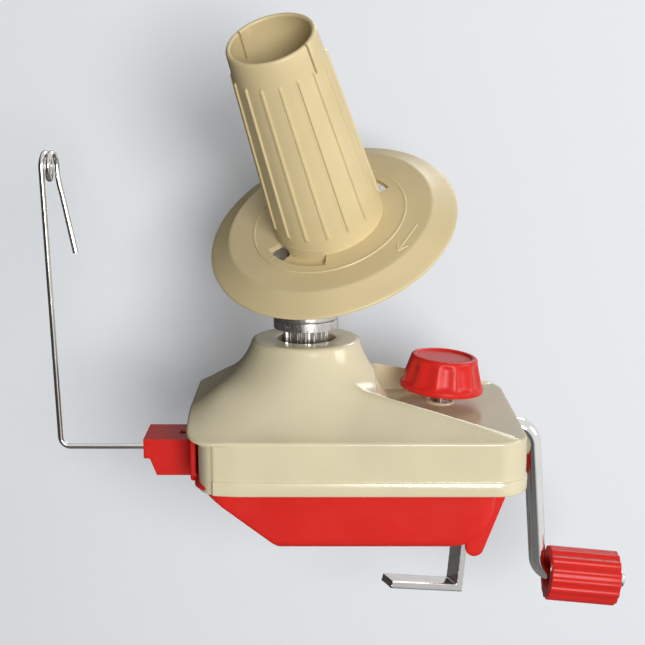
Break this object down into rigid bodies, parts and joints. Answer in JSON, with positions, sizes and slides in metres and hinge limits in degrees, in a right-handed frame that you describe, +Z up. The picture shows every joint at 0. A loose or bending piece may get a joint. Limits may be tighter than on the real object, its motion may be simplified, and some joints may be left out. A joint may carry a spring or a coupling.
{
  "type": "yarn ball winder",
  "caption": "Hand-cranked yarn ball winder with a tilted spool, wire yarn guide, geared housing and a screw clamp for a table edge.",
  "frame": {"origin": "the spindle axis where it meets the base's flat underside", "axes": "+X towards the crank, -Y towards the front, +Z up along the spindle axis"},
  "size_m": [0.2374, 0.1126, 0.2422],
  "materials": {
    "red_plastic": "semi-gloss moulded plastic",
    "cream_plastic": "semi-gloss moulded plastic",
    "beige_plastic": "satin moulded plastic",
    "white_nylon": "satin nylon",
    "brass": "turned",
    "chrome_rod": "bright plated rod",
    "plated_steel": "bright zinc plate",
    "plain_steel": "machined"
  },
  "bodies": {
    "housing": {"base_pan": "red_plastic", "top_cover": "cream_plastic", "cover_screws": "plain_steel", "guide_holder": "red_plastic", "holder_screws": "plain_steel", "outer_bush": "white_nylon", "bearing_block": "white_nylon", "block_screws": "plain_steel", "centre_post": "plain_steel", "post_pin": "plain_steel", "thrust_washer": "brass", "sun_gear": "brass", "sun_screw": "plain_steel"},
    "crank": {"crank_rod": "chrome_rod", "crown_gear": "white_nylon", "gear_pin": "plain_steel", "crank_clip": "plain_steel", "grip_washer": "plain_steel"},
    "grip": {"grip": "red_plastic"},
    "spindle": {"spindle_pinion": "plain_steel", "spindle_collar": "plain_steel", "collar_set_screw": "plain_steel", "tilt_arm": "plain_steel", "tilt_axle": "plain_steel", "axle_washer": "plain_steel", "axle_screw": "plain_steel"},
    "platter": {"platter": "beige_plastic", "planet_gear": "white_nylon", "hub_bush": "brass"},
    "cone": {"winding_cone": "beige_plastic"},
    "knob": {"clamp_knob": "red_plastic", "clamp_bolt": "plain_steel"},
    "clamp": {"clamp_hook": "plated_steel", "clamp_nut": "plain_steel"},
    "guide": {"guide_wire": "chrome_rod"}
  },
  "joints": [
    {"name": "crank_turn", "type": "hinge", "parent": "housing", "child": "crank", "pos_m": [0, 0, 0.0365], "axis": [1, 0, 0], "continuous": true},
    {"name": "grip_spin", "type": "hinge", "parent": "crank", "child": "grip", "pos_m": [0.10341, 0, -0.02805], "axis": [0.9954, 0, -0.0958], "continuous": true},
    {"name": "spindle_turn", "type": "hinge", "parent": "housing", "child": "spindle", "pos_m": [0, 0, 0.08], "axis": [0, 0, 1], "continuous": true},
    {"name": "spool_turn", "type": "hinge", "parent": "spindle", "child": "platter", "pos_m": [0, 0, 0.149], "axis": [-0.2492, -0.5166, 0.8192], "continuous": true},
    {"name": "cone_twist", "type": "hinge", "parent": "platter", "child": "cone", "pos_m": [0, 0, 0.149], "axis": [-0.2492, -0.5166, 0.8192], "range_deg": [-15, 0]},
    {"name": "knob_turn", "type": "hinge", "parent": "housing", "child": "knob", "pos_m": [0.055, 0.009, 0.04375], "axis": [0.0837, 0, 0.9965], "range_deg": [-7200, 360]},
    {"name": "clamp_slide", "type": "slide", "parent": "housing", "child": "clamp", "axis": [0.0837, 0, 0.9965], "range_m": [-0.001, 0.02]},
    {"name": "guide_swing", "type": "hinge", "parent": "housing", "child": "guide", "pos_m": [-0.07, 0, 0.0274], "axis": [1, 0, 0], "range_deg": [-90, 90]}
  ],
  "couplings": [
    {"joint": "spindle_turn", "follows": "crank_turn", "ratio": -3.375},
    {"joint": "spool_turn", "follows": "crank_turn", "ratio": -1.0125},
    {"joint": "clamp_slide", "follows": "knob_turn", "m_per_rad": -0.00015915}
  ]
}
